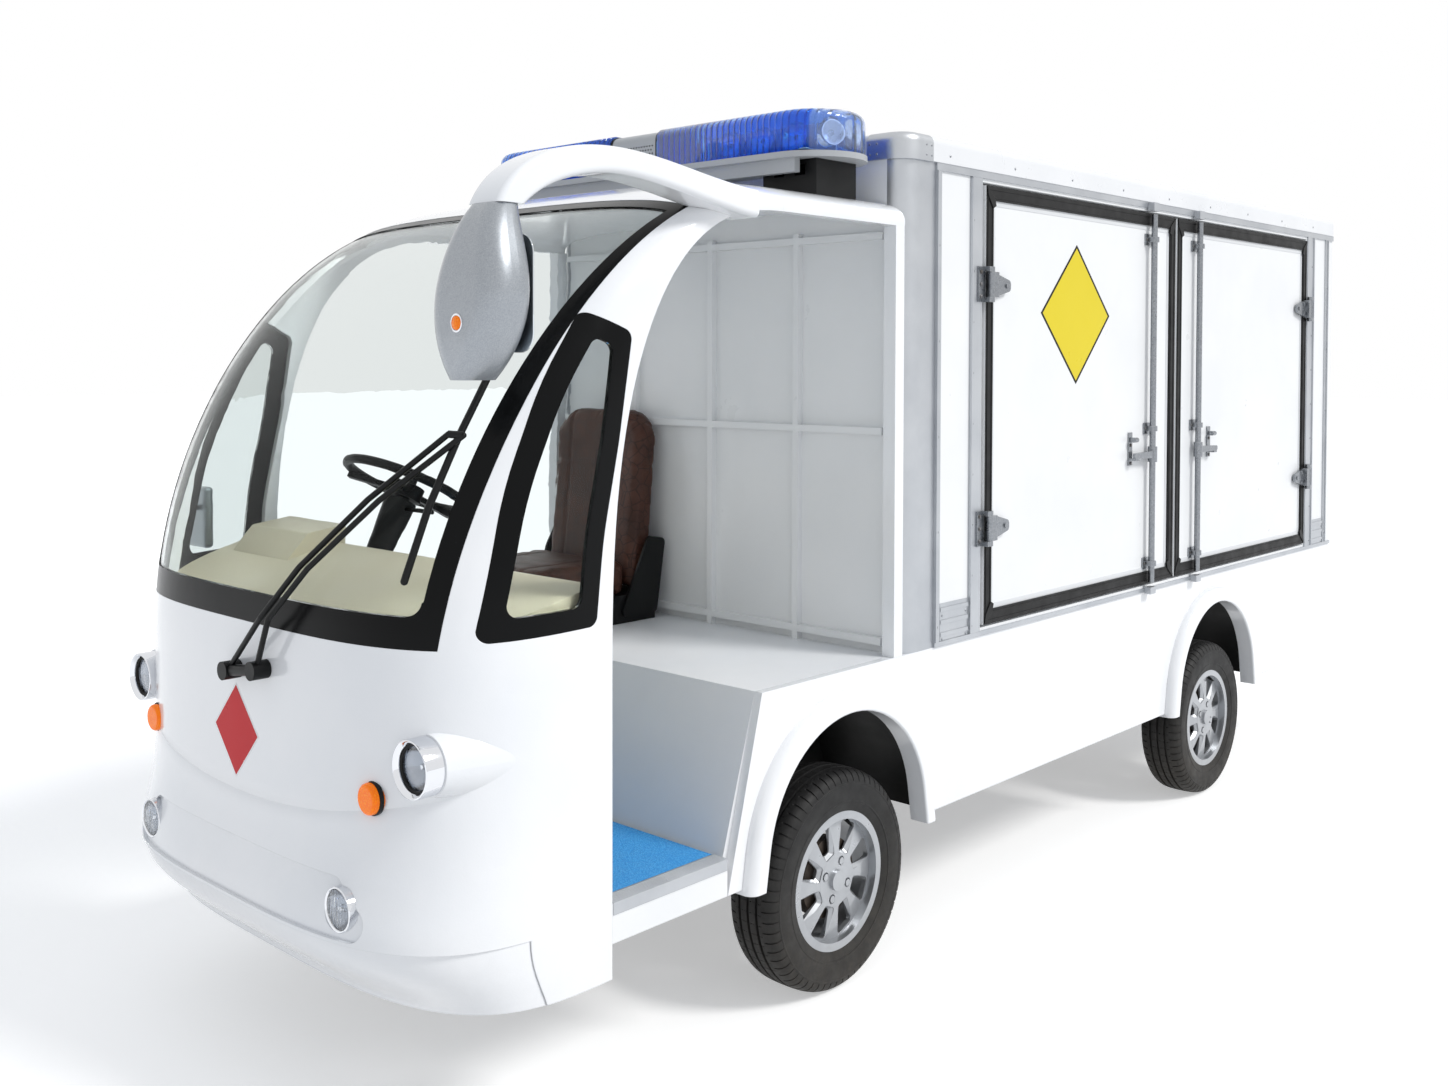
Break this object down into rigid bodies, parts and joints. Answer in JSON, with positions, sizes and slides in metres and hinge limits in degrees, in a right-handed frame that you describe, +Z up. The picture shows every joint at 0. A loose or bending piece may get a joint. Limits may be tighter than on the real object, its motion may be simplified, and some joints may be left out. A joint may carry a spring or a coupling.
{
  "type": "electric ambulance",
  "caption": "Small electric ambulance with an open moulded cab, a wrap-round windscreen and a box body with double doors on each side.",
  "frame": {"origin": "on the ground below the middle of the whole vehicle", "axes": "+Z up, front of the vehicle towards -Y, +X to the vehicle's left"},
  "size_m": [1.6702, 4.9096, 2.3159],
  "materials": {
    "white_shell": "gloss",
    "white_panel": "satin",
    "aluminium": "satin",
    "zinc": "satin",
    "chassis_paint": "satin",
    "black_rubber": "matt",
    "black_plastic": "matt",
    "grey_plastic": "matt",
    "glass": "polished",
    "lamp_glass": "polished",
    "amber": "gloss",
    "red_lens": "gloss",
    "blue_lens": "gloss",
    "silver_paint": "gloss",
    "beige": "matt",
    "leather": "satin",
    "grey_panel": "satin",
    "blue_mat": "matt",
    "tyre": "matt",
    "alloy": "gloss",
    "steel": "satin"
  },
  "bodies": {
    "chassis": {"front_cowl": "white_shell", "cab_roof": "white_shell", "glazing_frames": "black_rubber", "cab_glass": "glass", "front_axle": "chassis_paint", "rear_axle": "chassis_paint", "leaf_springs": "steel", "chassis_frame": "chassis_paint", "deck_bearers": "chassis_paint", "rear_bumper": "black_plastic", "battery_pack": "black_plastic", "side_skirt_left": "white_shell", "side_skirt_right": "white_shell", "wheel_liners": "black_plastic", "cab_floor": "white_panel", "floor_mat": "blue_mat", "seat_platform": "grey_panel", "seat_base": "black_plastic", "seat_cushion": "leather", "seat_backrest": "leather", "dashboard": "beige", "steering_column": "black_plastic", "front_lamps": "alloy", "turn_signals": "amber", "tail_lamps": "red_lens", "wiper": "black_plastic", "mirror_arm": "white_shell", "mirror_heads": "silver_paint", "light_bar": "blue_lens", "light_bar_base": "grey_plastic", "cab_rear_wall": "white_panel", "box_sides": "white_panel", "load_floor": "grey_panel", "box_rear_wall": "white_panel", "box_roof": "aluminium", "door_hinges": "zinc", "box_frame": "aluminium", "lamp_lenses": "lamp_glass", "light_bar_feet": "black_plastic"},
    "steering_wheel": {"steering_wheel": "black_plastic"},
    "knuckle_left": {"knuckle_left": "steel"},
    "knuckle_right": {"knuckle_right": "steel"},
    "wheel_front_left": {"tyre_front_left": "tyre", "rim_front_left": "alloy"},
    "wheel_front_right": {"tyre_front_right": "tyre", "rim_front_right": "alloy"},
    "wheel_rear_left": {"tyre_rear_left": "tyre", "rim_rear_left": "alloy"},
    "wheel_rear_right": {"tyre_rear_right": "tyre", "rim_rear_right": "alloy"},
    "door_left_front": {"door_left_front": "white_panel", "door_gear_left_front": "zinc"},
    "door_left_rear": {"door_left_rear": "white_panel", "door_gear_left_rear": "zinc"},
    "door_right_front": {"door_right_front": "white_panel", "door_gear_right_front": "zinc"},
    "door_right_rear": {"door_right_rear": "white_panel", "door_gear_right_rear": "zinc"}
  },
  "joints": [
    {"name": "steering_wheel_turn", "type": "hinge", "parent": "chassis", "child": "steering_wheel", "pos_m": [-0.38, -1.695, 1.3], "axis": [0, 0.4695, 0.8829], "range_deg": [-450, 450]},
    {"name": "steer_left", "type": "hinge", "parent": "chassis", "child": "knuckle_left", "pos_m": [0.56, -1.105, 0.289], "axis": [0, 0, 1], "range_deg": [-30, 30]},
    {"name": "steer_right", "type": "hinge", "parent": "chassis", "child": "knuckle_right", "pos_m": [-0.56, -1.105, 0.289], "axis": [0, 0, 1], "range_deg": [-30, 30]},
    {"name": "wheel_front_left_spin", "type": "hinge", "parent": "knuckle_left", "child": "wheel_front_left", "pos_m": [0.6445, -1.105, 0.289], "axis": [1, 0, 0], "continuous": true},
    {"name": "wheel_front_right_spin", "type": "hinge", "parent": "knuckle_right", "child": "wheel_front_right", "pos_m": [-0.6445, -1.105, 0.289], "axis": [1, 0, 0], "continuous": true},
    {"name": "wheel_rear_left_spin", "type": "hinge", "parent": "chassis", "child": "wheel_rear_left", "pos_m": [0.6445, 1.185, 0.289], "axis": [1, 0, 0], "continuous": true},
    {"name": "wheel_rear_right_spin", "type": "hinge", "parent": "chassis", "child": "wheel_rear_right", "pos_m": [-0.6445, 1.185, 0.289], "axis": [1, 0, 0], "continuous": true},
    {"name": "door_left_front_hinge", "type": "hinge", "parent": "chassis", "child": "door_left_front", "pos_m": [0.746, -0.438, 1.523], "axis": [0, 0, -1], "range_deg": [0, 170]},
    {"name": "door_left_rear_hinge", "type": "hinge", "parent": "chassis", "child": "door_left_rear", "pos_m": [0.746, 2.101, 1.523], "axis": [0, 0, 1], "range_deg": [0, 170]},
    {"name": "door_right_front_hinge", "type": "hinge", "parent": "chassis", "child": "door_right_front", "pos_m": [-0.746, -0.438, 1.523], "axis": [0, 0, 1], "range_deg": [0, 170]},
    {"name": "door_right_rear_hinge", "type": "hinge", "parent": "chassis", "child": "door_right_rear", "pos_m": [-0.746, 2.101, 1.523], "axis": [0, 0, -1], "range_deg": [0, 170]}
  ],
  "couplings": [
    {"joint": "steer_left", "follows": "steering_wheel_turn", "ratio": 0.0666},
    {"joint": "steer_right", "follows": "steering_wheel_turn", "ratio": 0.0666}
  ]
}
